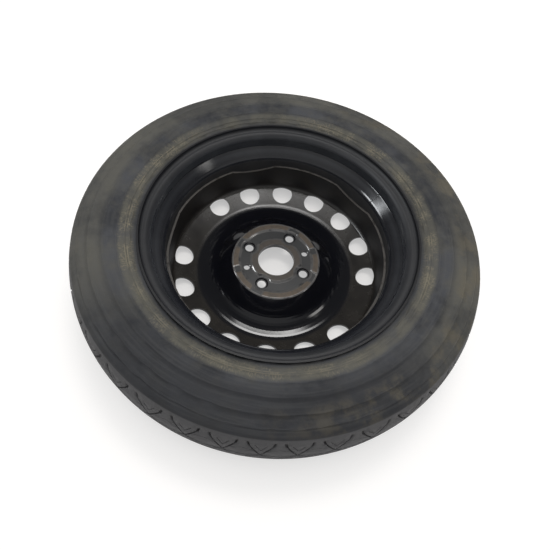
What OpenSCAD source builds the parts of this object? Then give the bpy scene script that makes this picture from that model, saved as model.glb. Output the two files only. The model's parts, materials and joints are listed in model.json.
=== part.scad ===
// Narrow temporary spare wheel: pressed steel disc, rolled steel rim, tyre and snap-in valve.
// Millimetres. The hub's mounting face is the plane z = 0, with the inboard side up.

/* [Hub fit] */
// Diameter of the circle through the stud holes
stud_pcd = 98; // [96:1:102]
// Diameter of each stud hole
stud_hole_d = 13.5; // [12:0.5:15]
// Diameter of each of the two guide pin holes
pin_hole_d = 9.6; // [8:0.2:11]
// Diameter of the centre bore
bore_d = 58.1; // [56:0.1:60]
// Depth of the collar round the centre bore
collar_h = 8; // [6:0.5:8]

/* [Disc] */
// Thickness of the disc sheet
disc_t = 3.4; // [3:0.1:3.6]
// Radius of the mounting pad
pad_r = 68; // [66:0.5:69]
// Depth of the pressed relief between the two contact rings of the pad
relief = 1.7; // [1:0.1:2]
// Slope of the dish beside the pad, in degrees
dish_slope = 40; // [36:1:44]
// Width of each vent hole round the disc
vent_w = 35; // [30:1:37]
// Radius of the circle that the vent holes lie on
vent_r = 151.5; // [150:0.5:152.5]
// Height of the disc's flange above the mounting face
flange_z = 34.5; // [32:0.5:36]

/* [Rim] */
// Diameter of the bead seats
seat_d = 380.2; // [379:0.1:382]
// Width between the rim's flanges
rim_w = 101.6; // [100:0.1:103]
// Distance from the mounting face to the middle of the rim
rim_offset = 34; // [33:0.5:35]
// Height of the rim's flanges above the bead seats
lip_h = 14.2; // [13.5:0.1:15]
// Thickness of the rim sheet
rim_t = 2.8; // [2.5:0.1:3]
// Inside radius of the drop well
well_r = 169.5; // [169:0.5:170]

/* [Tyre] */
// Outside diameter of the tyre
tyre_d = 606; // [600:1:610]
// Radius of the crown's curve across the tread
crown_r = 140; // [135:1:150]
// Number of tread pitches round the tyre
pitches = 38; // [30:1:44]
// Depth of the tread grooves
groove_depth = 4; // [2:0.5:5]
// Width of the slanted shoulder grooves
arm_w = 2.4; // [2:0.1:3.5]
// Width of the fine grooves over the crown
fine_w = 1.8; // [1.2:0.1:2.4]
// Height of the fine ribs round the sidewalls
rib_h = 0.6; // [0.3:0.1:0.9]

/* [Valve] */
// Radius of the circle that the valve stands on
valve_r = 180.4; // [180:0.1:180.8]
// Diameter of the valve hole in the rim
valve_hole_d = 11.3; // [11:0.1:11.5]
// Length of the valve stem outside the rim
stem_len = 28.5; // [27:0.5:29]

/* [Hidden] */
$fn = 144;

// Hub fit
stud_r = stud_pcd / 2;
stud_angles = [0, 90, 180, 270];
pin_angles = [45, 225];
recess_r = 14.2;
dimple_r = 10.4;
dimple_floor_r = 8.4;
dimple_depth = 4;
boss_z = -dimple_depth - 5;
stud_boss_r = 11;
stud_gap = 18;
stud_gap_depth = 0.7;
pin_gap = 12;
pin_gap_depth = 0.3;
pin_dimple_r = 6.2;
pin_dimple_depth = 0.8;
pin_wall = 1.2;
press_run = 2.6;
press_round = 4;
stud_seat_r = 8.8;
stud_seat_angle = 30;

// Disc
inner_ring_r = 40.2;
outer_ring_r = 58.6;
vent_places = 16;
vent_closed = [0, 8];
vent_reach = 12.5;
vent_edge_r = 32;
disc_wall_r = well_r - disc_t;
pad_edge_r = pad_r + 2;
root_z = -13.9;
band_slope = 18.5;
bend_r = 125.3;
bend_z = root_z - (disc_wall_r - bend_r) * tan(band_slope);
bend_round = 32;
bowl_slope = 5;
foot_r = (pad_edge_r * tan(dish_slope) - bend_z - bend_r * tan(bowl_slope))
    / (tan(dish_slope) - tan(bowl_slope));
foot_z = (pad_edge_r - foot_r) * tan(dish_slope);
foot_round = 40;
scoop_angles = [67, 132, 200, 272, 348];
scoop_r = 82;
scoop_depth = 9;

// Rim
seat_r = seat_d / 2;
flange_in = rim_offset + rim_w / 2;
flange_out = rim_offset - rim_w / 2;
lip_w = 10;
lip_curl_r = 7.9;
heel_r = 6.5;
seat_drop = 1.5;
seat_len = 17;
well_out_z = 5 + rim_t;
well_in_z = 50;
ramp_top_z = 63;
weld_turn = 24;

// Tyre
tyre_r = tyre_d / 2;
crown_c = tyre_r - crown_r;
crown_edge = 20.9;
shoulder_r = 16;
shoulder_edge = 68;
side_r = 96;
side_edge = 117;
crown_t = 11;
side_t = 6;
toe_w = 33.5;
pitch = 360 / pitches;
pitch_swing = 1.4;
pitch_shift = 80;
tread_turn = -57.8;
vee_in = 12;
vee_out = 45;
node_in = 6;
vee_half = 0.33;
notch_w = 3.2;
notch_len = 6;
side_ribs = [69.6, 79, 90.7, 101.5, 108, 111.8];
rib_half = 0.9;
rib_top_half = 0.4;
groove_over = 8;

// Valve, with its own +Z out of the rim towards the outboard side
valve_angle = 0;
valve_z = well_out_z - rim_t;
head_r = 8;
head_t = 4.6;
shoulder_d = 14;
stem_r = 2.9;
stem_thread_r = 3.85;
stem_thread_len = 11.5;
core_thread_r = 2.62;
core_bore_r = 1.95;
core_top = stem_len - 1;
core_step = stem_len - 6;
core_low = stem_len - 16.5;
barrel_r = 1.75;
pin_r = 0.5;
pin_top = stem_len - 0.3;
collar_top = core_step - 1.2;
spring_low = core_low + 1;
spring_turns = 7;
spring_wire = 0.32;
spring_r = 0.86;
cap_r = 5;
cap_low = 18.2;
cap_top = 31;
cap_gap = 0.05;
cap_ribs = 24;

paint = [0.05, 0.05, 0.055];
rubber = [0.2, 0.2, 0.2];
brass = [0.72, 0.58, 0.3];

function unit(v) = v / norm(v);
function left_of(v) = [-v[1], v[0]];

// Points of the round that a corner gets, for an outline whose points are [r, z, radius]
function round_corner(p0, p1, p2) =
    let(a = [p1[0], p1[1]], u = unit([p0[0], p0[1]] - a), v = unit([p2[0], p2[1]] - a))
    let(half = acos(max(-1, min(1, u * v))) / 2, c = a + unit(u + v) * p1[2] / sin(half))
    let(e0 = a + u * p1[2] / tan(half) - c, e1 = a + v * p1[2] / tan(half) - c)
    let(a0 = atan2(e0[1], e0[0]), raw = atan2(e1[1], e1[0]) - a0)
    let(sweep = raw > 180 ? raw - 360 : raw < -180 ? raw + 360 : raw, step = p1[2] < 1.6 ? 18 : p1[2] > 25 ? 6 : 12)
    let(n = max(2, ceil(abs(sweep) / step)))
    [for (i = [0:n]) c + p1[2] * [cos(a0 + sweep * i / n), sin(a0 + sweep * i / n)]];

// One surface of a bent sheet, from its corners
function bent_line(c) = [for (i = [0:len(c) - 1])
    let(sharp = i == 0 || i == len(c) - 1 || c[i][2] <= 0)
    each (sharp ? [[c[i][0], c[i][1]]] : round_corner(c[i - 1], c[i], c[i + 1]))];

// The other surface's corners, a thickness t to the left of the first (to the right if t is negative)
function offset_corners(c, t) = [for (i = [0:len(c) - 1])
    let(p = [c[i][0], c[i][1]])
    let(d0 = i > 0 ? unit(p - [c[i - 1][0], c[i - 1][1]]) : unit([c[1][0], c[1][1]] - p))
    let(d1 = i < len(c) - 1 ? unit([c[i + 1][0], c[i + 1][1]] - p) : d0)
    let(q = p + (left_of(d0) + left_of(d1)) * t / (1 + d0 * d1), turn = d0[0] * d1[1] - d0[1] * d1[0])
    [q[0], q[1], c[i][2] <= 0 ? 0 : max(0, c[i][2] - sign(turn) * t)]];

function reversed(p) = [for (i = [len(p) - 1:-1:0]) p[i]];
function sheet_outline(c, t) = concat(bent_line(c), reversed(bent_line(offset_corners(c, t))));
function arc_points(c, r, a0, a1, n) = [for (i = [0:n]) let(a = a0 + (a1 - a0) * i / n) c + r * [cos(a), sin(a)]];

// Corners of the disc's inboard surface, from the bore out to the flange's edge
disc_corners = [[bore_d / 2, -collar_h, 0], [bore_d / 2, 0, 0], [pad_edge_r, 0, 5],
    [foot_r, foot_z, foot_round], [bend_r, bend_z, bend_round],
    [disc_wall_r, root_z, 9], [disc_wall_r, flange_z, 0]];

// Corners of the rim's tyre side, from the outboard lip to the inboard lip
rim_corners = [
    [seat_r + lip_h, flange_out - lip_w, 0], [seat_r + lip_h, flange_out, lip_curl_r],
    [seat_r, flange_out, heel_r], [seat_r - seat_drop, flange_out + seat_len, 2],
    [seat_r - 0.4, flange_out + seat_len + 3, 2], [seat_r - 0.8, well_out_z, 2],
    [well_r + rim_t, well_out_z, 2.5], [well_r + rim_t, well_in_z, 10],
    [seat_r - 2, ramp_top_z, 8], [seat_r - 0.6, flange_in - seat_len - 3, 2],
    [seat_r - seat_drop, flange_in - seat_len, 2], [seat_r, flange_in, heel_r],
    [seat_r + lip_h, flange_in, lip_curl_r], [seat_r + lip_h, flange_in + lip_w, 0]];

// Centre of an arc of radius r that runs on from the arc [c, r0] at angle a
function next_centre(c, r0, r, a) = c + (r0 - r) * [cos(a), sin(a)];
shoulder_c = next_centre([crown_c, 0], crown_r, shoulder_r, crown_edge);
side_c = next_centre(shoulder_c, shoulder_r, side_r, shoulder_edge);

// The sidewall's outside: a low flat-topped rib at each rib angle, and one point between two ribs
side_line = [for (i = [0:len(side_ribs) - 1])
    let(a = side_ribs[i], next = i < len(side_ribs) - 1 ? side_ribs[i + 1] : side_edge)
    let(rib = [[-rib_half, 0], [-rib_top_half, rib_h], [rib_top_half, rib_h], [rib_half, 0], [(next - a) / 2, 0]])
    each [for (p = rib) side_c + (side_r + p[1]) * [cos(a + p[0]), sin(a + p[0])]]];

// Half of the tyre's section as [radius, distance from the middle plane], outside then inside
tyre_half = concat(
    arc_points([crown_c, 0], crown_r, 0, crown_edge, 5),
    arc_points(shoulder_c, shoulder_r, crown_edge + 12, shoulder_edge - 1.5, 4),
    side_line,
    arc_points(side_c, side_r, side_edge, side_edge, 1),
    [[seat_r, rim_w / 2 + 4], [seat_r - 4, rim_w / 2], [seat_r - 4, toe_w]],
    [[seat_r + 6, toe_w + 3], [seat_r + 20, toe_w + 13]],
    arc_points(side_c, side_r - side_t, 104, 70, 5),
    arc_points([crown_c, 0], crown_r - crown_t, 18, 0, 5));
tyre_outline = concat([for (p = tyre_half) [p[0], rim_offset + p[1]]],
    [for (p = reversed(tyre_half)) [p[0], rim_offset - p[1]]]);

// Turn of each tread pitch: the pitches get longer and shorter four times round the tyre
function pitch_at(k) = tread_turn + k * pitch + pitch_swing * sin(4 * (k * pitch + tread_turn) + pitch_shift);

module strip(p, q, w) {
    along = unit(q - p) * w / 2;
    side = left_of(along);
    polygon([p - along - side, q + along - side, q + along + side, p - along + side]);
}

// One V of shoulder grooves, its foot at the origin, with left and right half widths
module vee(left, right) {
    reach = vee_out - vee_in;
    for (x = [-left, right]) {
        strip([0, 0], [x, reach - notch_len], arm_w);
        strip([x, reach - notch_len], [x * 1.08, reach], notch_w);
    }
}

// Fine grooves over the crown between two V feet that are w apart
module crown_net(w) {
    for (s = [-1, 1]) {
        strip([s * w / 2, vee_in], [0, node_in], fine_w);
        strip([s * w / 2, -node_in], [0, -vee_in], fine_w);
        strip([s * w / 2, vee_in], [0, -vee_in], fine_w);
    }
}

// Places a flat groove shape on the crown, turned by a round the tyre and tilted by b across it
module on_crown(a, b) {
    rotate([0, 0, a])
        translate([crown_c, 0, rim_offset])
            rotate([0, -b, 0])
                translate([crown_r - groove_depth, 0, 0])
                    rotate([90, 0, 90])
                        linear_extrude(groove_depth + groove_over)
                            children();
}

module tread_grooves() {
    tilt = asin((vee_in + vee_out) / 2 / crown_r);
    foot = crown_r * sin(asin(vee_in / crown_r) - tilt);
    for (k = [0:pitches - 1]) {
        here = pitch_at(k);
        mm = (tyre_r - 3) * PI / 180;
        behind = (here - pitch_at(k - 1)) * mm;
        ahead = (pitch_at(k + 1) - here) * mm;
        middle = (here + pitch_at(k + 1)) / 2;
        on_crown(here, tilt)
            translate([0, foot])
                vee(vee_half * behind, vee_half * ahead);
        on_crown(middle, 0)
            crown_net(ahead);
        on_crown(middle, -tilt)
            translate([0, -foot])
                mirror([0, 1])
                    vee(vee_half * ahead, vee_half * ahead);
    }
}

module tyre() {
    color(rubber)
        difference() {
            rotate_extrude()
                difference() {
                    polygon(tyre_outline);
                    polygon(concat(bent_line(rim_corners),
                        [[well_r - 20, flange_in + lip_w], [well_r - 20, flange_out - lip_w]]));
                }
            tread_grooves();
        }
}

module at_valve() {
    rotate([0, 0, valve_angle])
        translate([valve_r, 0, valve_z])
            rotate([180, 0, 0])
                children();
}

module rim() {
    color(paint)
        difference() {
            rotate_extrude()
                polygon(sheet_outline(rim_corners, rim_t));
            at_valve() {
                translate([0, 0, -rim_t - 1])
                    cylinder(d = valve_hole_d, h = rim_t + 2);
                cylinder(d = shoulder_d + 0.6, h = 9);
                translate([0, 0, -rim_t - 5])
                    cylinder(r = head_r + 0.1, h = 5);
            }
        }
}

// Points down a pressed wall whose middle is at x, from the face to the depth d, with x rising if s is 1
function press_wall(x, s, d) =
    let(top = x - s * press_run / 2, foot = x + s * press_run / 2)
    concat(round_corner([top - 9 * s, 0], [top, 0, press_round], [foot, -d]),
        round_corner([top, 0], [foot, -d, press_round], [foot + 9 * s, -d]));

// Section of a pressed trough from a to b, open at the top
function trough(a, b, d) =
    let(left = press_wall(a, 1, d), right = reversed(press_wall(b, -1, d)))
    concat([[left[0][0], 1]], left, right, [[right[len(right) - 1][0], 1]]);

// How far a wall's back lies outside its front, with the sheet's thickness between them
function back_out(d) = disc_t * tan(atan(d / press_run) / 2);

// Section of the same trough where it stands out behind the sheet
function trough_back(a, b, d) =
    let(out = back_out(d), run = press_run / 2)
    [[a - out - run, -disc_t + 1], [a - out - run, -disc_t], [a - out + run, -disc_t - d],
        [b + out - run, -disc_t - d], [b + out + run, -disc_t], [b + out + run, -disc_t + 1]];

// Section of a round recess, from its axis
function round_recess(r, d) =
    let(wall = reversed(press_wall(r, -1, d)))
    concat([[0, 1], [0, -d]], wall, [[wall[len(wall) - 1][0], 1]]);

module at_angles(angles) {
    for (a = angles)
        rotate([0, 0, a])
            translate([stud_r, 0, 0])
                children();
}

// Gap through the outer contact ring beside a stud or pin hole, of width w and depth d
module ring_gap(w, d) {
    rotate([90, 0, 90])
        linear_extrude(pad_edge_r + 3 - stud_r)
            polygon(trough(-w / 2, w / 2, d));
}

module pad_pressing() {
    rotate_extrude()
        polygon(trough(inner_ring_r, outer_ring_r, relief));
    at_angles(stud_angles) {
        ring_gap(stud_gap, stud_gap_depth);
        rotate_extrude()
            polygon(round_recess(recess_r, relief));
        rotate_extrude()
            polygon([[0, 0], [0, -dimple_depth], [dimple_floor_r, -dimple_depth],
                [dimple_r, -relief], [dimple_r, 0]]);
    }
    at_angles(pin_angles) {
        ring_gap(pin_gap, pin_gap_depth);
        rotate_extrude()
            polygon([[0, 0], [0, -relief - pin_dimple_depth],
                [pin_dimple_r - pin_wall, -relief - pin_dimple_depth],
                [pin_dimple_r, -relief], [pin_dimple_r, 0]]);
    }
}

// The sheet that stands out behind the pressed places of the pad
module pad_back() {
    rotate_extrude()
        polygon(trough_back(inner_ring_r, outer_ring_r, relief));
    at_angles(stud_angles) {
        rotate([90, 0, 90])
            linear_extrude(pad_r - stud_r)
                polygon(trough_back(-stud_gap / 2, stud_gap / 2, stud_gap_depth));
        rotate_extrude()
            polygon([[0, -disc_t + 1], [0, boss_z], [stud_boss_r, boss_z],
                [recess_r - press_run / 2, -disc_t - relief],
                [recess_r + press_run / 2, -disc_t], [recess_r + press_run / 2, -disc_t + 1]]);
    }
    at_angles(pin_angles)
        translate([0, 0, -disc_t - relief - pin_dimple_depth])
            cylinder(r1 = pin_dimple_r + pin_wall / 2, r2 = pin_dimple_r + pin_wall * 1.5, h = 2);
}

module vent_hole() {
    translate([vent_r, 0, root_z - (disc_wall_r - vent_r) * tan(band_slope)])
        rotate([0, -band_slope, 0])
            linear_extrude(24, center = true)
                intersection() {
                    circle(d = vent_w);
                    translate([vent_reach - vent_edge_r, 0])
                        circle(r = vent_edge_r);
                }
}

module wheel_disc() {
    seat_h = (stud_seat_r - stud_hole_d / 2) / tan(stud_seat_angle);
    color(paint)
        difference() {
            union() {
                rotate_extrude()
                    polygon(sheet_outline(disc_corners, -disc_t));
                pad_back();
            }
            pad_pressing();
            at_angles(stud_angles) {
                translate([0, 0, -20])
                    cylinder(d = stud_hole_d, h = 30);
                translate([0, 0, boss_z])
                    cylinder(r1 = stud_seat_r, r2 = stud_hole_d / 2, h = seat_h);
            }
            at_angles(pin_angles)
                translate([0, 0, -20])
                    cylinder(d = pin_hole_d, h = 30);
            for (k = [0:vent_places - 1])
                if (len(search(k, vent_closed)) == 0)
                    rotate([0, 0, k * 360 / vent_places])
                        vent_hole();
            for (a = scoop_angles)
                rotate([0, 0, a])
                    translate([disc_wall_r - 10, 0, flange_z + scoop_r - scoop_depth])
                        rotate([0, 90, 0])
                            cylinder(r = scoop_r, h = disc_t + 20);
        }
}

module disc_welds() {
    color(paint)
        for (a = [22.5:45:337.5])
            rotate([0, 0, a - weld_turn / 2])
                rotate_extrude(angle = weld_turn)
                    difference() {
                        polygon([[well_r, valve_z + 4.5], [well_r, valve_z - 4], [well_r + 2.4, valve_z - 3.2],
                            [well_r + 4.6, valve_z - 0.6], [well_r + 4.6, valve_z + 1],
                            [well_r + 1, valve_z + 4.5]]);
                        polygon(sheet_outline(rim_corners, rim_t));
                    }
}

module valve_body() {
    color(rubber)
        at_valve()
            rotate_extrude($fn = 72)
                polygon([[stem_r, -rim_t - head_t], [head_r - 1.6, -rim_t - head_t],
                    [head_r, -rim_t - head_t + 1.8], [head_r, -rim_t],
                    [valve_hole_d / 2, -rim_t], [valve_hole_d / 2, 0], [shoulder_d / 2, 0],
                    [shoulder_d / 2, 1.6], [5.7, 9], [5.2, 12], [5.2, 16.2], [4.4, 17], [stem_r, 17]]);
}

module valve_stem() {
    color(brass)
        at_valve()
            rotate_extrude($fn = 72)
                polygon([[core_bore_r, -6.4], [stem_r, -6.4], [stem_r, 17],
                    [stem_thread_r, stem_len - stem_thread_len],
                    [stem_thread_r, stem_len - 0.8], [stem_thread_r - 0.6, stem_len], [core_thread_r, stem_len],
                    [core_thread_r, stem_len - 8], [core_bore_r, stem_len - 10]]);
}

// Threaded plug, barrel and end seat of the valve core, with its tool flats at the tip
module valve_core() {
    color(brass)
        at_valve()
            difference() {
                rotate_extrude($fn = 72)
                    polygon([[0.62, core_low], [barrel_r, core_low], [barrel_r, core_step], [2.57, core_step],
                        [2.57, core_top], [0.8, core_top], [0.8, core_step], [1.25, core_step],
                        [1.25, spring_low], [0.62, spring_low]]);
                for (s = [-1, 1])
                    translate([s * 2.3 - 0.8, -3, core_top - 2])
                        cube([1.6, 6, 3]);
            }
}

module core_gasket() {
    color("white")
        at_valve()
            rotate_extrude($fn = 72)
                polygon([[barrel_r, stem_len - 9.4], [2.15, stem_len - 9.4], [2.55, stem_len - 8],
                    [2.55, core_step - 0.6],
                    [barrel_r, core_step - 0.6]]);
}

// Pin with its collar under the plug and the cup that holds the seal at the inner end
module valve_pin() {
    color(brass)
        at_valve()
            rotate_extrude($fn = 48)
                polygon([[0, core_low - 2.6], [1.5, core_low - 2.6], [1.5, core_low - 1.4],
                    [pin_r, core_low - 1.4],
                    [pin_r, collar_top - 0.8], [1.1, collar_top - 0.8], [1.1, collar_top], [pin_r, collar_top],
                    [pin_r, pin_top - 0.5], [0.7, pin_top - 0.5], [0.7, pin_top], [0, pin_top]]);
}

module pin_seal() {
    color(rubber)
        at_valve()
            rotate_extrude($fn = 48)
                polygon([[pin_r, core_low - 1.4], [1.45, core_low - 1.4], [1.45, core_low], [pin_r, core_low]]);
}

// Round wire swept along a helix, with flat closed ends
function helix_at(t) = [spring_r * cos(360 * spring_turns * t), spring_r * sin(360 * spring_turns * t),
    spring_low + spring_wire / 2 + t * (collar_top - 0.8 - spring_low - spring_wire)];

module valve_spring() {
    rings = spring_turns * 12;
    sides = 8;
    points = [for (i = [0:rings])
        let(p = helix_at(i / rings), out = unit([p[0], p[1], 0]))
        for (j = [0:sides - 1])
            p + spring_wire / 2 * (cos(360 * j / sides) * out + [0, 0, sin(360 * j / sides)])];
    walls = [for (i = [0:rings - 1], j = [0:sides - 1])
        let(a = i * sides + j, b = i * sides + (j + 1) % sides)
        [a, a + sides, b + sides, b]];
    ends = [[for (j = [0:sides - 1]) j], [for (j = [sides - 1:-1:0]) rings * sides + j]];
    color("silver")
        at_valve()
            polyhedron(points, concat(walls, ends));
}

module valve_cap() {
    color([0.08, 0.08, 0.08])
        at_valve()
            union() {
                rotate_extrude($fn = 96)
                    polygon([[stem_thread_r + 0.1, cap_low], [cap_r, cap_low], [cap_r, cap_low + 1.4],
                        [cap_r - 0.4, cap_low + 1.8], [cap_r - 0.4, cap_top - 1.6],
                        [cap_r - 1.6, cap_top], [0, cap_top],
                        [0, stem_len + cap_gap + 1.2], [stem_thread_r + 0.1, stem_len + cap_gap + 1.2]]);
                for (k = [0:cap_ribs - 1])
                    rotate([0, 0, k * 360 / cap_ribs])
                        translate([cap_r - 0.8, -0.3, cap_low + 1])
                            cube([0.75, 0.6, cap_top - cap_low - 3]);
            }
}

module cap_gasket() {
    color(rubber)
        at_valve()
            translate([0, 0, stem_len + cap_gap])
                cylinder(r = stem_thread_r + 0.05, h = 1.2, $fn = 48);
}

tyre();
rim();
wheel_disc();
disc_welds();
valve_body();
valve_stem();
valve_core();
core_gasket();
valve_pin();
pin_seal();
valve_spring();
valve_cap();
cap_gasket();
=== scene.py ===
import bpy
import json
import math
from mathutils import Matrix, Vector

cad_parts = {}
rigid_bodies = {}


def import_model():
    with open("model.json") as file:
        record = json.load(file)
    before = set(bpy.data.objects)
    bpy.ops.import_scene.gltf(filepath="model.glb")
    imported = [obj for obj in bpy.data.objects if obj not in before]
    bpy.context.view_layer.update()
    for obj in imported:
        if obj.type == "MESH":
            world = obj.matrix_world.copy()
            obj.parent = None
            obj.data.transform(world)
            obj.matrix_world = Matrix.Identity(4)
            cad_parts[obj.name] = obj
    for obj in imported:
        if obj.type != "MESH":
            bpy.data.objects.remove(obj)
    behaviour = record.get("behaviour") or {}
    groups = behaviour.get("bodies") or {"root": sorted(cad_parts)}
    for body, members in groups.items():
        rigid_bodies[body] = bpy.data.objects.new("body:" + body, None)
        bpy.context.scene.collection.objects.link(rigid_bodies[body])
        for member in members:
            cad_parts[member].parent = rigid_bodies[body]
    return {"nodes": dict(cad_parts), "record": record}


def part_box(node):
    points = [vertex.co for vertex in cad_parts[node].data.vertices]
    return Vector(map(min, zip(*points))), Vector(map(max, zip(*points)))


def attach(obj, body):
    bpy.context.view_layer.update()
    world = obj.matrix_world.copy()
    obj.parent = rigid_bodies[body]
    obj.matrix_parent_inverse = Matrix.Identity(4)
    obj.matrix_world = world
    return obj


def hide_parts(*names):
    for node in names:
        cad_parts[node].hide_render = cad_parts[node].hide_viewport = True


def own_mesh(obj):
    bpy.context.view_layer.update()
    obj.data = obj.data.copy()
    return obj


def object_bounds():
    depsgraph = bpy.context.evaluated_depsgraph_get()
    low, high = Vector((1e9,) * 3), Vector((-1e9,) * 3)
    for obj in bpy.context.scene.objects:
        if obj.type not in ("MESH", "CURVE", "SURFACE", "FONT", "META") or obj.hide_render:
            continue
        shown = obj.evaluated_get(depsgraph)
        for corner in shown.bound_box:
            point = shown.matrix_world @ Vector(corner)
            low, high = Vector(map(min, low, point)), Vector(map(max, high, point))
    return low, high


for leftover in list(bpy.data.objects):
    bpy.data.objects.remove(leftover)
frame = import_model()
cadLow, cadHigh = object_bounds()
print("frame loaded, box", [round(v, 4) for v in cadHigh - cadLow])


# Small helpers for node trees

def placeNode(tree, kind, values=None, **settings):
    node = tree.nodes.new(kind)
    for name, value in settings.items():
        setattr(node, name, value)
    for name, value in (values or {}).items():
        node.inputs[name].default_value = value
    return node


def mathNode(tree, operation, first, second=None, third=None):
    node = placeNode(tree, "ShaderNodeMath", operation=operation)
    for i, source in enumerate((first, second, third)):
        if source is None:
            continue
        if isinstance(source, (int, float)):
            node.inputs[i].default_value = source
        else:
            tree.links.new(source, node.inputs[i])
    return node.outputs[0]


def times(tree, *factors):
    product = factors[0]
    for factor in factors[1:]:
        product = mathNode(tree, "MULTIPLY", product, factor)
    return product


def scaled(tree, source, gain, offset):
    return mathNode(tree, "MULTIPLY_ADD", source, gain, offset)


def mixColour(tree, factor, first, second):
    node = placeNode(tree, "ShaderNodeMix", data_type="RGBA")
    for socket, source in ((0, factor), (6, first), (7, second)):
        if isinstance(source, tuple):
            node.inputs[socket].default_value = (*source, 1)
        else:
            tree.links.new(source, node.inputs[socket])
    return node.outputs[2]


def ramp(tree, source, low, high, outLow=0.0, outHigh=1.0):
    node = placeNode(tree, "ShaderNodeMapRange", interpolation_type="SMOOTHSTEP")
    for socket, value in enumerate((source, low, high, outLow, outHigh)):
        if isinstance(value, (int, float)):
            node.inputs[socket].default_value = value
        else:
            tree.links.new(value, node.inputs[socket])
    return node.outputs[0]


def splitParts(tree, vector):
    split = placeNode(tree, "ShaderNodeSeparateXYZ")
    tree.links.new(vector, split.inputs[0])
    return split.outputs


def joinParts(tree, *parts):
    whole = placeNode(tree, "ShaderNodeCombineXYZ")
    for i, part in enumerate(parts):
        tree.links.new(part, whole.inputs[i])
    return whole.outputs[0]


def objectPoint(tree):
    point = placeNode(tree, "ShaderNodeTexCoord").outputs["Object"]
    return point, splitParts(tree, point)


def wheelRadius(tree, xyz):
    squares = mathNode(tree, "MULTIPLY", xyz[0], xyz[0])
    return mathNode(tree, "SQRT", mathNode(tree, "MULTIPLY_ADD", xyz[1], xyz[1], squares))


def noise(tree, point, scale, detail=3.0, roughness=0.55):
    node = placeNode(tree, "ShaderNodeTexNoise", {"Scale": scale, "Detail": detail, "Roughness": roughness})
    tree.links.new(point, node.inputs["Vector"])
    return node.outputs["Fac"]


def newGroup(name, inputs):
    tree = bpy.data.node_groups.new(name, "ShaderNodeTree")
    for label, value in inputs.items():
        socket = tree.interface.new_socket(label, in_out="INPUT", socket_type="NodeSocketFloat")
        socket.default_value = value
    tree.interface.new_socket("Mask", in_out="OUTPUT", socket_type="NodeSocketFloat")
    return tree, tree.nodes.new("NodeGroupInput").outputs, tree.nodes.new("NodeGroupOutput").inputs


def useGroup(tree, group, values):
    node = tree.nodes.new("ShaderNodeGroup")
    node.node_tree = group
    for name, value in values.items():
        node.inputs[name].default_value = value
    return node.outputs["Mask"]


# Masks that several finishes share

def makeRingMask():
    tree, given, result = newGroup("ringMask", {"Inner": 0.1, "Outer": 0.2, "Soft": 0.002})
    radius = wheelRadius(tree, objectPoint(tree)[1])
    start = mathNode(tree, "SUBTRACT", given["Inner"], given["Soft"])
    end = mathNode(tree, "ADD", given["Outer"], given["Soft"])
    inner = ramp(tree, radius, start, given["Inner"])
    outer = ramp(tree, radius, given["Outer"], end, 1.0, 0.0)
    tree.links.new(times(tree, inner, outer), result["Mask"])
    return tree


def makeSectorMask():
    # one stretch round the wheel, given by its middle and its half width in degrees
    tree, given, result = newGroup("sectorMask", {"Middle": 0.0, "Half Width": 45.0, "Soft": 20.0})
    xyz = objectPoint(tree)[1]
    angle = mathNode(tree, "ARCTAN2", xyz[1], xyz[0])
    away = mathNode(tree, "SUBTRACT", angle, mathNode(tree, "RADIANS", given["Middle"]))
    near = mathNode(tree, "COSINE", away)
    edge = mathNode(tree, "COSINE", mathNode(tree, "RADIANS", given["Half Width"]))
    wide = mathNode(tree, "ADD", given["Half Width"], given["Soft"])
    far = mathNode(tree, "COSINE", mathNode(tree, "RADIANS", wide))
    tree.links.new(ramp(tree, near, far, edge), result["Mask"])
    return tree


def makeBlotches():
    tree, given, result = newGroup("blotches", {"Scale": 10.0, "From": 0.45, "To": 0.6})
    node = placeNode(tree, "ShaderNodeTexNoise", {"Detail": 5.0, "Roughness": 0.62})
    tree.links.new(objectPoint(tree)[0], node.inputs["Vector"])
    tree.links.new(given["Scale"], node.inputs["Scale"])
    tree.links.new(ramp(tree, node.outputs["Fac"], given["From"], given["To"]), result["Mask"])
    return tree


strokeLook = {"radius": 0.22, "detail": 4.0, "roughness": 0.6}


def makeStrokes():
    # short marks that run outwards from the axle, as brushed-in dirt does
    tree, given, result = newGroup("strokes", {"Across": 300.0, "Along": 90.0, "From": 0.5, "To": 0.62})
    xyz = objectPoint(tree)[1]
    radius = wheelRadius(tree, xyz)
    arc = times(tree, mathNode(tree, "ARCTAN2", xyz[1], xyz[0]), strokeLook["radius"])
    flat = joinParts(tree, times(tree, arc, given["Across"]), times(tree, radius, given["Along"]),
                     times(tree, xyz[2], given["Along"]))
    grain = noise(tree, flat, 1.0, strokeLook["detail"], strokeLook["roughness"])
    tree.links.new(ramp(tree, grain, given["From"], given["To"]), result["Mask"])
    return tree


def makeUpward():
    tree, given, result = newGroup("upward", {"From": 0.2, "To": 0.8})
    geometry = placeNode(tree, "ShaderNodeNewGeometry")
    normal = splitParts(tree, geometry.outputs["Normal"])
    tree.links.new(ramp(tree, normal[2], given["From"], given["To"]), result["Mask"])
    return tree


ringMask = makeRingMask()
sectorMask = makeSectorMask()
blotches = makeBlotches()
strokes = makeStrokes()
upward = makeUpward()


# Finishes

def newFinish(name, base, roughness, metallic=0.0):
    finish = bpy.data.materials.new(name)
    finish.use_nodes = True
    tree = finish.node_tree
    shader = tree.nodes["Principled BSDF"]
    shader.inputs["Base Color"].default_value = (*base, 1)
    shader.inputs["Roughness"].default_value = roughness
    shader.inputs["Metallic"].default_value = metallic
    return finish, tree, shader


def addBump(tree, shader, height, strength, distance):
    bump = placeNode(tree, "ShaderNodeBump", {"Strength": strength, "Distance": distance})
    tree.links.new(height, bump.inputs["Height"])
    tree.links.new(bump.outputs["Normal"], shader.inputs["Normal"])


def makeMasks(tree, rows):
    return {name: useGroup(tree, group, values) for name, (group, values) in rows.items()}


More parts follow.
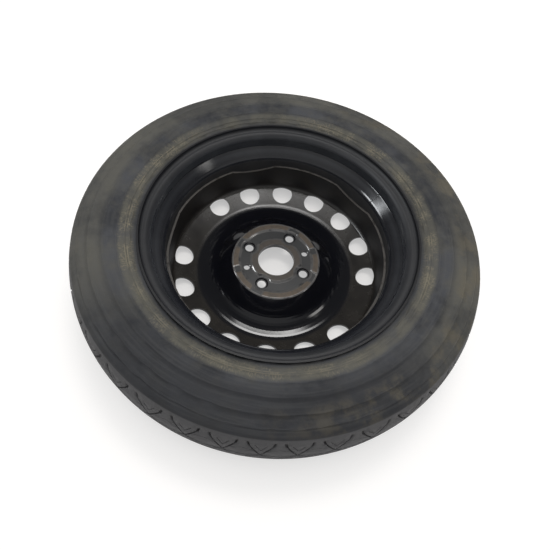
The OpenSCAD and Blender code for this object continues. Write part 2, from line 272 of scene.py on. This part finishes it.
tyreLook = {
    "dark": (0.034, 0.036, 0.041), "light": (0.066, 0.069, 0.077), "mottle": (0.080, 0.078, 0.072),
    "dust": (0.118, 0.112, 0.090), "frontShade": (0.028, 0.029, 0.033), "streak": (0.090, 0.092, 0.092),
    "tan": (0.215, 0.190, 0.135), "brown": (0.150, 0.128, 0.085), "tread": (0.110, 0.109, 0.113),
    "mottleShare": 0.35, "filmShare": 0.35, "dustyGain": 0.35, "dustyLeast": 0.3, "frontShadeShare": 0.75,
    "streakAcross": 300.0, "streakAlong": 14.0, "streakFrom": 0.45, "streakTo": 0.70, "streakShare": 0.2,
    "frontReach": 0.6, "oliveGain": 0.45, "oliveLeast": 0.35, "markShare": 0.85, "lineShare": 0.8,
    "brownShare": 0.42, "treadShare": 0.85, "roughness": 0.72, "filmRoughness": 0.12, "specular": 0.25,
    "fineGrain": 900.0, "fineDetail": 2.0, "coarseGrain": 120.0, "coarseShare": 3.0, "bump": 0.5,
    "bumpDepth": 0.0005,
    "masks": {
        "shade": (blotches, {"Scale": 9.0, "From": 0.42, "To": 0.60}),
        "mottle": (blotches, {"Scale": 75.0, "From": 0.40, "To": 0.66}),
        "film": (blotches, {"Scale": 26.0, "From": 0.46, "To": 0.72}),
        "outside": (ringMask, {"Inner": 0.258, "Outer": 0.300, "Soft": 0.016}),
        "frontShade": (sectorMask, {"Middle": -72.0, "Half Width": 22.0, "Soft": 45.0}),
        "shaded": (ringMask, {"Inner": 0.246, "Outer": 0.305, "Soft": 0.02}),
        "right": (sectorMask, {"Middle": 55.0, "Half Width": 45.0, "Soft": 25.0}),
        "left": (sectorMask, {"Middle": 200.0, "Half Width": 30.0, "Soft": 25.0}),
        "front": (sectorMask, {"Middle": 272.0, "Half Width": 35.0, "Soft": 30.0}),
        "band": (ringMask, {"Inner": 0.2130, "Outer": 0.2240, "Soft": 0.007}),
        "patch": (blotches, {"Scale": 30.0, "From": 0.36, "To": 0.62}),
        "marks": (strokes, {"Across": 620.0, "Along": 260.0, "From": 0.44, "To": 0.66}),
        "innerLine": (ringMask, {"Inner": 0.2160, "Outer": 0.2166, "Soft": 0.0008}),
        "outerLine": (ringMask, {"Inner": 0.2192, "Outer": 0.2196, "Soft": 0.0008}),
        "clumps": (blotches, {"Scale": 45.0, "From": 0.40, "To": 0.60}),
        "shoulder": (ringMask, {"Inner": 0.268, "Outer": 0.292, "Soft": 0.018}),
        "stain": (blotches, {"Scale": 24.0, "From": 0.46, "To": 0.62}),
        "side": (sectorMask, {"Middle": 20.0, "Half Width": 50.0, "Soft": 50.0}),
        "tread": (ringMask, {"Inner": 0.2935, "Outer": 0.310, "Soft": 0.0012}),
    },
}


def makeTyreRubber():
    look = tyreLook
    finish, tree, shader = newFinish("tyreRubber", look["dark"], look["roughness"])
    point, xyz = objectPoint(tree)
    mask = makeMasks(tree, look["masks"])
    colour = mixColour(tree, mask["shade"], look["dark"], look["light"])
    colour = mixColour(tree, times(tree, mask["mottle"], look["mottleShare"]), colour, look["mottle"])
    # thin dust all over
    colour = mixColour(tree, times(tree, mask["film"], look["filmShare"]), colour, look["dust"])
    # dust on the outer sidewall, which also lightens its sides as painted light; the stretch in front gets
    # none, and a darker colour there is painted shade
    dusty = scaled(tree, mask["shade"], look["dustyGain"], look["dustyLeast"])
    awayFromFront = mathNode(tree, "SUBTRACT", 1.0, mask["frontShade"])
    colour = mixColour(tree, times(tree, mask["outside"], dusty, awayFromFront), colour, look["dust"])
    # painted shade: the front stretch of the outer sidewall is darkened
    wiped = times(tree, mask["shaded"], mask["frontShade"], look["frontShadeShare"])
    colour = mixColour(tree, wiped, colour, look["frontShade"])
    # streaks that run round the wheel
    radius = times(tree, wheelRadius(tree, xyz), look["streakAcross"])
    along = [times(tree, part, look["streakAlong"]) for part in (xyz[0], xyz[1])]
    flat = joinParts(tree, radius, *along)
    streak = ramp(tree, noise(tree, flat, 1.0), look["streakFrom"], look["streakTo"])
    colour = mixColour(tree, times(tree, streak, look["streakShare"]), colour, look["streak"])
    # olive dust beside the bead, with tan dirt in its fine rings and on the flanks of its ribs
    reach = mathNode(tree, "MAXIMUM", mask["right"], mask["left"])
    reach = mathNode(tree, "MAXIMUM", reach, times(tree, mask["front"], look["frontReach"]))
    olive = times(tree, mask["band"], scaled(tree, mask["patch"], look["oliveGain"], look["oliveLeast"]))
    colour = mixColour(tree, olive, colour, look["dust"])
    lines = mathNode(tree, "MAXIMUM", mask["innerLine"], mask["outerLine"])
    marks = times(tree, mask["marks"], look["markShare"])
    tan = mathNode(tree, "MAXIMUM", marks, times(tree, lines, look["lineShare"]))
    tan = times(tree, tan, mask["clumps"], mask["band"], reach)
    colour = mixColour(tree, tan, colour, look["tan"])
    # brown stains on the outer shoulder
    brown = times(tree, mask["shoulder"], mask["stain"], mask["side"], look["brownShare"])
    colour = mixColour(tree, brown, colour, look["brown"])
    # the faces of the tread are greyer than the sidewall, and their grooves stay dark
    colour = mixColour(tree, times(tree, mask["tread"], look["treadShare"]), colour, look["tread"])
    tree.links.new(colour, shader.inputs["Base Color"])
    rough = scaled(tree, mask["film"], look["filmRoughness"], look["roughness"])
    tree.links.new(rough, shader.inputs["Roughness"])
    shader.inputs["Specular IOR Level"].default_value = look["specular"]
    grain = noise(tree, point, look["fineGrain"], look["fineDetail"])
    coarse = noise(tree, point, look["coarseGrain"])
    addBump(tree, shader, scaled(tree, coarse, look["coarseShare"], grain), look["bump"], look["bumpDepth"])
    return finish


paintLook = {
    "black": (0.0030, 0.0037, 0.0068), "film": (0.027, 0.023, 0.018), "wall": (0.020, 0.015, 0.011),
    "haze": (0.066, 0.070, 0.078), "pad": (0.020, 0.021, 0.022), "bare": (0.100, 0.077, 0.056),
    "wornEdgeHighlight": (0.34, 0.33, 0.32), "edge": (0.16, 0.15, 0.14),
    "bandFilm": 0.7, "leastFilm": 0.1, "filmGain": 0.4, "filmLeast": 0.7, "wallGain": 0.5, "wallLeast": 0.25,
    "wellHaze": 0.35, "seatHaze": 0.8, "hazeGain": 0.3, "hazeLeast": 0.75, "hazeLostUp": -0.68,
    "hazeWiped": -0.85, "padGain": 0.3, "padLeast": 0.7, "innerContact": 0.55, "scuffGain": 0.5,
    "scuffLeast": 0.5, "chipGain": 0.75, "chipLeast": 0.1, "wornEdgeHighlightShare": 0.5, "cutGain": 0.45,
    "cutLeast": 0.12, "wornMetal": 0.4, "contactMetal": 0.4,
    "roughness": 0.07, "filmRough": 0.25, "hazeRough": 0.1, "flangeRough": 0.38, "padRough": 0.35,
    "wallRough": 0.6, "contactRough": 0.1,
    "peel": 260.0, "peelDetail": 1.5, "ripple": 34.0, "rippleDetail": 1.0, "rippleShare": 5.0, "bump": 0.05,
    "bumpDepth": 0.0003,
    # heights between which each of these fades in or out
    "wallHeights": (-0.016, -0.008), "flangeHeights": (0.076, 0.084), "contactHeights": (-0.00022, -0.00008),
    "raisedHeights": (0.001, 0.002), "recessHeights": (-0.0030, -0.0012), "rimHeights": (-0.0032, -0.0012),
    "cutHeights": (0.02, 0.022),
    "masks": {
        "up": (upward, {"From": 0.1, "To": 0.85}),
        "flat": (upward, {"From": 0.985, "To": 0.999}),
        "edgeUp": (upward, {"From": 0.4, "To": 0.9}),
        "patches": (blotches, {"Scale": 22.0, "From": 0.35, "To": 0.65}),
        "scuffs": (blotches, {"Scale": 160.0, "From": 0.25, "To": 0.6}),
        "chips": (blotches, {"Scale": 60.0, "From": 0.34, "To": 0.52}),
        "band": (ringMask, {"Inner": 0.131, "Outer": 0.1655, "Soft": 0.007}),
        "wall": (ringMask, {"Inner": 0.1645, "Outer": 0.1694, "Soft": 0.001}),
        "seat": (ringMask, {"Inner": 0.182, "Outer": 0.212, "Soft": 0.008}),
        "well": (ringMask, {"Inner": 0.1695, "Outer": 0.182, "Soft": 0.001}),
        "wiped": (ringMask, {"Inner": 0.2004, "Outer": 0.2046, "Soft": 0.0006}),
        "middle": (ringMask, {"Inner": 0.028, "Outer": 0.0685, "Soft": 0.0008}),
        "outerContact": (ringMask, {"Inner": 0.0606, "Outer": 0.0682, "Soft": 0.0006}),
        "innerContact": (ringMask, {"Inner": 0.0296, "Outer": 0.0384, "Soft": 0.0006}),
        "padRim": (ringMask, {"Inner": 0.0686, "Outer": 0.0706, "Soft": 0.0006}),
        "flange": (ringMask, {"Inner": 0.166, "Outer": 0.1694, "Soft": 0.0003}),
    },
}


def makeBlackPaint():
    look = paintLook
    finish, tree, shader = newFinish("blackPaint", look["black"], look["roughness"])
    point, xyz = objectPoint(tree)
    mask = makeMasks(tree, look["masks"])
    patches = mask["patches"]
    # brown film of road dust: thick on the vent band, thin where other paint faces up
    amount = scaled(tree, mask["band"], look["bandFilm"], look["leastFilm"])
    film = times(tree, mask["up"], amount, scaled(tree, patches, look["filmGain"], look["filmLeast"]))
    colour = mixColour(tree, film, look["black"], look["film"])
    # the same film dulls the wall of the disc's own flange
    wall = times(tree, mask["wall"], ramp(tree, xyz[2], *look["wallHeights"]))
    amount = times(tree, wall, scaled(tree, patches, look["wallGain"], look["wallLeast"]))
    colour = mixColour(tree, amount, colour, look["wall"])
    # grey haze on the rolled rim, least in the well
    haze = scaled(tree, mask["well"], look["wellHaze"], times(tree, mask["seat"], look["seatHaze"]))
    haze = times(tree, haze, scaled(tree, patches, look["hazeGain"], look["hazeLeast"]))
    haze = times(tree, haze, scaled(tree, mask["up"], look["hazeLostUp"], 1.0))
    # the flange is duller than the well, and its top edge is wiped clean
    flangeTop = ramp(tree, xyz[2], *look["flangeHeights"])
    wiped = times(tree, mask["wiped"], flangeTop)
    haze = times(tree, haze, scaled(tree, wiped, look["hazeWiped"], 1.0))
    colour = mixColour(tree, haze, colour, look["haze"])
    # dust that stays on the flats of the pad
    settled = scaled(tree, patches, look["padGain"], look["padLeast"])
    settled = times(tree, mask["middle"], mask["flat"], settled)
    colour = mixColour(tree, settled, colour, look["pad"])
    # the two contact rings of the pad have lost their paint
    top = ramp(tree, xyz[2], *look["contactHeights"])
    low = ramp(tree, xyz[2], *look["raisedHeights"], 1.0, 0.0)
    innerContact = times(tree, mask["innerContact"], look["innerContact"])
    rings = mathNode(tree, "MAXIMUM", mask["outerContact"], innerContact)
    scuffed = scaled(tree, mask["scuffs"], look["scuffGain"], look["scuffLeast"])
    contact = times(tree, mask["flat"], rings, top, low, scuffed)
    colour = mixColour(tree, contact, colour, look["bare"])
    # paint worn thin on the pressed edges of the pad and on its outer edge; its light grey is also a painted
    # highlight along these edges
    steep = mathNode(tree, "SUBTRACT", 1.0, mask["flat"])
    walls = times(tree, mask["middle"], steep, ramp(tree, xyz[2], *look["recessHeights"]))
    padRim = times(tree, mask["padRim"], ramp(tree, xyz[2], *look["rimHeights"]))
    chipped = scaled(tree, mask["chips"], look["chipGain"], look["chipLeast"])
    wornEdgeHighlight = times(tree, mathNode(tree, "MAXIMUM", walls, padRim), chipped)
    colour = mixColour(tree, times(tree, wornEdgeHighlight, look["wornEdgeHighlightShare"]), colour, look["wornEdgeHighlight"])
    # thin paint along the cut edge of the disc's flange
    cut = times(tree, mask["flange"], mask["edgeUp"], ramp(tree, xyz[2], *look["cutHeights"]))
    cut = times(tree, cut, scaled(tree, mask["chips"], look["cutGain"], look["cutLeast"]))
    colour = mixColour(tree, cut, colour, look["edge"])
    tree.links.new(colour, shader.inputs["Base Color"])
    metal = scaled(tree, wornEdgeHighlight, look["wornMetal"], times(tree, contact, look["contactMetal"]))
    tree.links.new(metal, shader.inputs["Metallic"])
    rough = look["roughness"]
    for share, amount in (("filmRough", film), ("hazeRough", haze), ("flangeRough", flangeTop),
                          ("padRough", settled), ("wallRough", wall), ("contactRough", contact)):
        rough = scaled(tree, amount, look[share], rough)
    tree.links.new(rough, shader.inputs["Roughness"])
    peel = noise(tree, point, look["peel"], look["peelDetail"])
    ripple = noise(tree, point, look["ripple"], look["rippleDetail"])
    addBump(tree, shader, scaled(tree, ripple, look["rippleShare"], peel), look["bump"], look["bumpDepth"])
    return finish


smallLook = {
    "valve_rubber": {"name": "valveRubber", "base": (0.030, 0.030, 0.031), "second": (0.060, 0.056, 0.050),
                     "drift": 120.0, "roughness": 0.6, "metallic": 0.0, "grain": 1500.0, "depth": 0.0001},
    "brass": {"name": "dullBrass", "base": (0.50, 0.36, 0.16), "second": (0.30, 0.22, 0.12),
              "drift": 200.0, "roughness": 0.3, "metallic": 1.0, "grain": 2500.0, "depth": 0.00004},
    "seal": {"name": "sealRing", "base": (0.60, 0.12, 0.07), "second": (0.42, 0.08, 0.05),
             "drift": 400.0, "roughness": 0.45, "metallic": 0.0, "grain": 3000.0, "depth": 0.00003},
    "spring_steel": {"name": "springSteel", "base": (0.55, 0.55, 0.54), "second": (0.40, 0.39, 0.38),
                     "drift": 500.0, "roughness": 0.25, "metallic": 1.0, "grain": 3000.0, "depth": 0.00002},
    "cap_plastic": {"name": "capPlastic", "base": (0.020, 0.020, 0.021), "second": (0.040, 0.038, 0.036),
                    "drift": 150.0, "roughness": 0.35, "metallic": 0.0, "grain": 1200.0, "depth": 0.00005},
}
driftLook = {"from": 0.35, "to": 0.7, "roughness": 0.15, "grainDetail": 2.0, "bump": 0.3}


def makeSmall(look):
    # one colour that drifts towards a second one, with a fine grain
    finish, tree, shader = newFinish(look["name"], look["base"], look["roughness"], look["metallic"])
    point = objectPoint(tree)[0]
    spread = {"Scale": look["drift"], "From": driftLook["from"], "To": driftLook["to"]}
    drift = useGroup(tree, blotches, spread)
    tree.links.new(mixColour(tree, drift, look["base"], look["second"]), shader.inputs["Base Color"])
    tree.links.new(scaled(tree, drift, driftLook["roughness"], look["roughness"]), shader.inputs["Roughness"])
    grain = noise(tree, point, look["grain"], driftLook["grainDetail"])
    addBump(tree, shader, grain, driftLook["bump"], look["depth"])
    return finish


finishes = {"tyre": makeTyreRubber(), "black_paint": makeBlackPaint()}
for slot, look in smallLook.items():
    finishes[slot] = makeSmall(look)
slots = {row["node"]: row["material_slot"] for row in frame["record"]["subparts"]}
for name, node in frame["nodes"].items():
    node.data.materials.clear()
    node.data.materials.append(finishes[slots[name]])
print("finishes made:", len(finishes))


# Pieces modelled over the frame

mergeDistance = 1e-6


def deselectAll():
    bpy.ops.object.select_all(action="DESELECT")


def selectOnly(piece):
    deselectAll()
    piece.select_set(True)
    bpy.context.view_layer.objects.active = piece


def applyModifiers(piece):
    selectOnly(piece)
    for modifier in list(piece.modifiers):
        bpy.ops.object.modifier_apply(modifier=modifier.name)


def joinAll(parts, name):
    deselectAll()
    for part in parts:
        part.select_set(True)
    bpy.context.view_layer.objects.active = parts[0]
    bpy.ops.object.join()
    joined = bpy.context.object
    joined.name = name
    joined.data.name = name
    bpy.ops.object.transform_apply(location=True, rotation=True, scale=True)
    return joined


def copyOf(part):
    twin = part.copy()
    twin.data = part.data.copy()
    bpy.context.collection.objects.link(twin)
    return twin


def dress(piece, slot):
    piece.data.materials.clear()
    piece.data.materials.append(finishes[slot])
    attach(piece, "wheel")


def mergedCopy(nodeName, name):
    # the node's own mesh, with the doubled points along its edges joined
    twin = copyOf(frame["nodes"][nodeName])
    twin.name = name
    twin.data.name = name
    twin.parent = None
    selectOnly(twin)
    bpy.ops.object.mode_set(mode="EDIT")
    bpy.ops.mesh.select_all(action="SELECT")
    bpy.ops.mesh.remove_doubles(threshold=mergeDistance)
    bpy.ops.object.mode_set(mode="OBJECT")
    return twin


# Tyre: the CAD tyre with its fine sipes cut in

sipeLook = {
    "pitches": 38, "firstTurn": -57.8, "swing": 1.4, "waves": 4, "shift": 80.0,
    "tyreRadius": 0.303, "crownRadius": 0.140, "middle": 0.034,
    "footAcross": 0.012, "armAcross": 0.045, "armShare": 0.33,
    "width": 0.0009, "depth": 0.0022, "lengthShare": 0.96,
    "nestFoot": 0.027, "nestTop": 0.040, "nestShare": 0.17, "roofLow": 0.024, "roofHigh": 0.030,
    "smooth": 24.0,
}


def pitchTurn(k):
    turn = sipeLook["firstTurn"] + k * 360.0 / sipeLook["pitches"]
    return turn + sipeLook["swing"] * math.sin(math.radians(sipeLook["waves"] * turn + sipeLook["shift"]))


def crownPoint(turn, across, side):
    # a point of the crown and its outward direction, from a turn in degrees and an arc length off the middle
    lean = across / sipeLook["crownRadius"]
    centre = sipeLook["tyreRadius"] - sipeLook["crownRadius"]
    radius = centre + sipeLook["crownRadius"] * math.cos(lean)
    height = sipeLook["crownRadius"] * math.sin(lean) * side
    spoke = Vector((math.cos(math.radians(turn)), math.sin(math.radians(turn)), 0))
    outward = spoke * math.cos(lean) + Vector((0, 0, math.sin(lean) * side))
    return spoke * radius + Vector((0, 0, sipeLook["middle"] + height)), outward


def addSipe(first, second, side):
    # one blade between two places on the crown, standing across the surface
    start, startOut = crownPoint(*first, side)
    end, endOut = crownPoint(*second, side)
    along = end - start
    outward = (startOut + endOut).normalized()
    across = outward.cross(along).normalized()
    bpy.ops.mesh.primitive_cube_add(size=1.0)
    blade = bpy.context.object
    # half of the blade's height stands clear of the rubber
    length = along.normalized() * (along.length * sipeLook["lengthShare"])
    columns = (length, across * sipeLook["width"], outward * sipeLook["depth"] * 2)
    turned = Matrix([list(column) for column in columns]).transposed().to_4x4()
    blade.matrix_world = Matrix.Translation((start + end) / 2) @ turned
    return blade


def makeSipeBlades():
    foot, arm = sipeLook["footAcross"], sipeLook["armAcross"]
    low, high = sipeLook["roofLow"], sipeLook["roofHigh"]
    nestLow, nestHigh = sipeLook["nestFoot"], sipeLook["nestTop"]
    blades = []
    for k in range(sipeLook["pitches"]):
        here = pitchTurn(k)
        ahead = pitchTurn(k + 1) - here
        middle = here + ahead / 2
        nest = ahead * sipeLook["nestShare"]
        roof = ahead / 2 - ahead * sipeLook["armShare"] * (low - foot) / (arm - foot)
        for side in (-1, 1):
            # a small V inside each V of grooves, and a low roof between two of them
            blades.append(addSipe((here - nest, nestHigh), (here, nestLow), side))
            blades.append(addSipe((here, nestLow), (here + nest, nestHigh), side))
            blades.append(addSipe((middle - roof, low), (middle, high), side))
            blades.append(addSipe((middle, high), (middle + roof, low), side))
    return joinAll(blades, "sipeBlades")


def makeTyre():
    tyre = mergedCopy("tyre", "tyreWithSipes")
    blades = makeSipeBlades()
    cut = tyre.modifiers.new("sipes", "BOOLEAN")
    cut.operation = "DIFFERENCE"
    cut.object = blades
    cut.solver = "MANIFOLD"
    applyModifiers(tyre)
    bpy.data.objects.remove(blades)
    bpy.ops.object.shade_smooth_by_angle(angle=math.radians(sipeLook["smooth"]))
    dress(tyre, "tyre")
    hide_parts("tyre")
    print("tyre cut, faces:", len(tyre.data.polygons))


makeTyre()


# Weld seams: rows of overlapping beads, as a welder leaves them

seamLook = {
    "seams": 8, "firstTurn": 22.5, "nearestEnd": 10.5, "arc": 23.0, "beads": 25, "depth": 0.0046,
    "sunkShare": 0.62, "beadWide": 0.0032, "beadTall": 0.0040, "beadLong": 0.0026, "lean": 38.0,
    "wobble": 0.00025, "wobbleStep": 2.4, "segments": 20, "rings": 12, "voxel": 0.0008,
}


def addBead(k, radius, height):
    turn = math.radians((k / (seamLook["beads"] - 1) - 0.5) * seamLook["arc"])
    wobble = seamLook["wobble"] * math.sin(k * seamLook["wobbleStep"])
    bpy.ops.mesh.primitive_uv_sphere_add(segments=seamLook["segments"], ring_count=seamLook["rings"],
                                         radius=1.0)
    bead = bpy.context.object
    size = Matrix.Diagonal((seamLook["beadWide"], seamLook["beadLong"], seamLook["beadTall"], 1))
    lean = Matrix.Rotation(math.radians(seamLook["lean"]), 4, "Y")
    place = Matrix.Translation((radius + wobble, 0, height + wobble))
    bead.matrix_world = Matrix.Rotation(turn, 4, "Z") @ place @ lean @ size
    return bead


def makeSeams():
    # the node's widest point is the end of a seam that lies nearest the X axis
    low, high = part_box("disc_welds")
    outside = high.x / math.cos(math.radians(seamLook["nearestEnd"]))
    radius = outside - seamLook["depth"] * seamLook["sunkShare"]
    height = (low.z + high.z) / 2
    seam = joinAll([addBead(k, radius, height) for k in range(seamLook["beads"])], "weldSeam")
    blend = seam.modifiers.new("blend", "REMESH")
    blend.mode = "VOXEL"
    blend.voxel_size = seamLook["voxel"]
    applyModifiers(seam)
    seams = []
    for k in range(seamLook["seams"]):
        twin = copyOf(seam)
        twin.rotation_euler.z = math.radians(seamLook["firstTurn"] + k * 360 / seamLook["seams"])
        seams.append(twin)
    bpy.data.objects.remove(seam)
    joined = joinAll(seams, "weldSeams")
    bpy.ops.object.shade_smooth()
    dress(joined, "black_paint")
    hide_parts("disc_welds")
    print("weld seams made, faces:", len(joined.data.polygons))


makeSeams()


# The rolled rim's own weld, ground flush but for a low ridge across the seat and the well

rimSeamLook = {
    "turn": 57.0, "width": 0.0036, "from": 0.026, "to": 0.0855, "start": 0.150, "steps": 60, "stepsAcross": 4,
    "proud": 0.00028, "sunk": 0.0002, "grainShare": 0.25, "grainStep": 2400,
}


def makeRimSeam():
    deselectAll()
    length = rimSeamLook["to"] - rimSeamLook["from"]
    bpy.ops.mesh.primitive_grid_add(x_subdivisions=rimSeamLook["steps"],
                                    y_subdivisions=rimSeamLook["stepsAcross"], size=1.0)
    ridge = bpy.context.object
    ridge.name = "rimSeam"
    size = Matrix.Diagonal((length, rimSeamLook["width"], 1, 1))
    stand = Matrix.Rotation(math.radians(-90), 4, "Y")
    place = Matrix.Translation((rimSeamLook["start"], 0, (rimSeamLook["from"] + rimSeamLook["to"]) / 2))
    ridge.data.transform(place @ stand @ size)
    ridge.rotation_euler.z = math.radians(rimSeamLook["turn"])
    onto = ridge.modifiers.new("onto the rim", "SHRINKWRAP")
    onto.target = frame["nodes"]["rim"]
    onto.wrap_method = "PROJECT"
    onto.use_project_x = True
    onto.use_positive_direction = True
    applyModifiers(ridge)
    # a rounded ridge: its middle stands proud and its sides sink into the rim
    for vertex in ridge.data.vertices:
        share = abs(vertex.co.y) / (rimSeamLook["width"] / 2)
        rise = rimSeamLook["proud"] * (1 - share ** 2) - rimSeamLook["sunk"] * share ** 2
        ripple = rimSeamLook["grainShare"] * rimSeamLook["proud"]
        vertex.co.x -= rise + ripple * math.sin(vertex.co.z * rimSeamLook["grainStep"]) * (1 - share)
    bpy.ops.object.transform_apply(location=True, rotation=True, scale=True)
    bpy.ops.object.shade_smooth()
    dress(ridge, "black_paint")
    print("rim seam made")


makeRimSeam()


# The valve's spring, which the pin presses together

springLook = {"travel": 0.0015, "fixedEnd": -0.008, "smooth": 40.0}


def makeSpring():
    spring = mergedCopy("valve_spring", "valveSpring")
    bpy.ops.object.shade_smooth_by_angle(angle=math.radians(springLook["smooth"]))
    dress(spring, "spring_steel")
    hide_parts("valve_spring")
    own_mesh(spring)


makeSpring()


# Floor, lamps, sky and camera

floorLook = {
    "size": 8.0, "colour": (0.52, 0.505, 0.49), "roughness": 0.9, "specular": 0.1,
    "liftUnder": 0.44, "liftAround": 0.62, "from": 0.24, "to": 0.33,
}


def addFloor():
    deselectAll()
    bpy.ops.mesh.primitive_plane_add(size=floorLook["size"], location=(0, 0, cadLow.z))
    floor = bpy.context.object
    floor.name = "floor"
    finish, tree, shader = newFinish("paleFloor", floorLook["colour"], floorLook["roughness"])
    shader.inputs["Specular IOR Level"].default_value = floorLook["specular"]
    shader.inputs["Emission Color"].default_value = (1, 1, 1, 1)
    # the camera and mirrors see the floor lighter than it lights the wheel, and lightest round the tyre; the
    # smaller lift under the wheel is painted shade there
    path = placeNode(tree, "ShaderNodeLightPath").outputs
    seen = mathNode(tree, "MAXIMUM", path["Is Camera Ray"], path["Is Glossy Ray"])
    seen = mathNode(tree, "MAXIMUM", seen, path["Is Transmission Ray"])
    around = wheelRadius(tree, objectPoint(tree)[1])
    lifts = (floorLook["liftUnder"], floorLook["liftAround"])
    lift = ramp(tree, around, floorLook["from"], floorLook["to"], *lifts)
    tree.links.new(times(tree, seen, lift), shader.inputs["Emission Strength"])
    finish.cycles.emission_sampling = "NONE"
    floor.data.materials.append(finish)


lampLook = [
    {"name": "overhead", "place": (-0.135, 0.53, 2.00), "width": 0.85, "depth": 0.52, "power": 18.0,
     "colour": (1.0, 0.99, 0.98), "diffuse": True},
    {"name": "window", "place": (-1.42, -0.60, 1.20), "width": 0.8, "depth": 0.55, "power": 21.0,
     "colour": (0.94, 0.97, 1.0), "diffuse": False},
    {"name": "side", "place": (0.99, 0.35, 1.50), "width": 0.4, "depth": 0.6, "power": 3.8,
     "colour": (1.0, 0.98, 0.95), "diffuse": False},
]
lampFade = 0.2


def softenLamp(light):
    # the lamp fades out towards its rim, so that its mirror image has no hard edge
    light.data.use_nodes = True
    tree = light.data.node_tree
    geometry = placeNode(tree, "ShaderNodeNewGeometry")
    across = splitParts(tree, geometry.outputs["Parametric"])
    fade = []
    for axis in range(2):
        other = mathNode(tree, "SUBTRACT", 1.0, across[axis])
        fade.append(ramp(tree, times(tree, across[axis], other), 0.0, lampFade))
    tree.links.new(times(tree, *fade), tree.nodes["Emission"].inputs["Strength"])


def addLamps():
    for lamp in lampLook:
        bpy.ops.object.light_add(type="AREA", location=lamp["place"])
        light = bpy.context.object
        light.name = lamp["name"]
        light.rotation_euler = (-Vector(lamp["place"])).to_track_quat("-Z", "Y").to_euler()
        light.data.shape = "RECTANGLE"
        light.data.size = lamp["width"]
        light.data.size_y = lamp["depth"]
        light.data.energy = lamp["power"]
        light.data.color = lamp["colour"]
        light.visible_diffuse = lamp["diffuse"]
        softenLamp(light)


skyLook = {
    "level": 0.75, "slope": 0.38, "way": (-0.33, 0.94, 0.0), "walls": 0.2, "ceiling": 0.14,
    "wallTop": 0.2, "ceilingStart": 0.6, "near": 0.4, "nearFull": -0.5,
}


def addSky():
    # plain light on the object, a little more of it from the far side, and a dark room in mirrors
    world = bpy.data.worlds.new("studio")
    bpy.context.scene.world = world
    world.use_nodes = True
    world.cycles.sampling_method = "NONE"
    tree = world.node_tree
    tree.nodes.clear()
    direction = placeNode(tree, "ShaderNodeTexCoord").outputs["Generated"]
    height = splitParts(tree, direction)[2]
    towards = placeNode(tree, "ShaderNodeVectorMath", operation="DOT_PRODUCT")
    tree.links.new(direction, towards.inputs[0])
    towards.inputs[1].default_value = skyLook["way"]
    farSide = towards.outputs["Value"]
    levels = (skyLook["walls"], skyLook["ceiling"])
    room = ramp(tree, height, skyLook["wallTop"], skyLook["ceilingStart"], *levels)
    near = ramp(tree, farSide, 0.0, skyLook["nearFull"], 0.0, skyLook["near"])
    mirror = mathNode(tree, "ADD", room, near)
    path = placeNode(tree, "ShaderNodeLightPath").outputs
    mirrored = mathNode(tree, "MAXIMUM", path["Is Glossy Ray"], path["Is Transmission Ray"])
    plain = scaled(tree, farSide, skyLook["slope"], skyLook["level"])
    plain = times(tree, mathNode(tree, "SUBTRACT", 1.0, mirrored), plain)
    strength = scaled(tree, mirrored, mirror, plain)
    strength = mathNode(tree, "MAXIMUM", strength, path["Is Camera Ray"])
    background = placeNode(tree, "ShaderNodeBackground", {"Color": (1, 1, 1, 1)})
    tree.links.new(strength, background.inputs["Strength"])
    output = placeNode(tree, "ShaderNodeOutputWorld")
    tree.links.new(background.outputs[0], output.inputs["Surface"])


cameraLook = {
    "azimuth": -70.5, "elevation": 58.44, "distance": 0.762, "roll": 9.24, "lens": 30.94, "sensor": 36.0,
    "shiftX": -0.002, "shiftY": -0.028, "clip": 0.01,
}


def addCamera():
    bpy.ops.object.camera_add()
    camera = bpy.context.object
    camera.name = "photoCamera"
    azimuth = math.radians(cameraLook["azimuth"])
    elevation = math.radians(cameraLook["elevation"])
    level = math.cos(elevation)
    away = Vector((level * math.cos(azimuth), level * math.sin(azimuth), math.sin(elevation)))
    turn = Matrix.Rotation(math.radians(90) + azimuth, 4, "Z")
    tilt = Matrix.Rotation(math.radians(90) - elevation, 4, "X")
    roll = Matrix.Rotation(math.radians(cameraLook["roll"]), 4, "Z")
    camera.matrix_world = Matrix.Translation(away * cameraLook["distance"]) @ turn @ tilt @ roll
    camera.data.lens = cameraLook["lens"]
    camera.data.sensor_width = cameraLook["sensor"]
    camera.data.shift_x = cameraLook["shiftX"]
    camera.data.shift_y = cameraLook["shiftY"]
    camera.data.clip_start = cameraLook["clip"]
    bpy.context.scene.camera = camera


addFloor()
addLamps()
addSky()
addCamera()
bpy.context.scene.view_settings.view_transform = "Standard"
print("stage set")
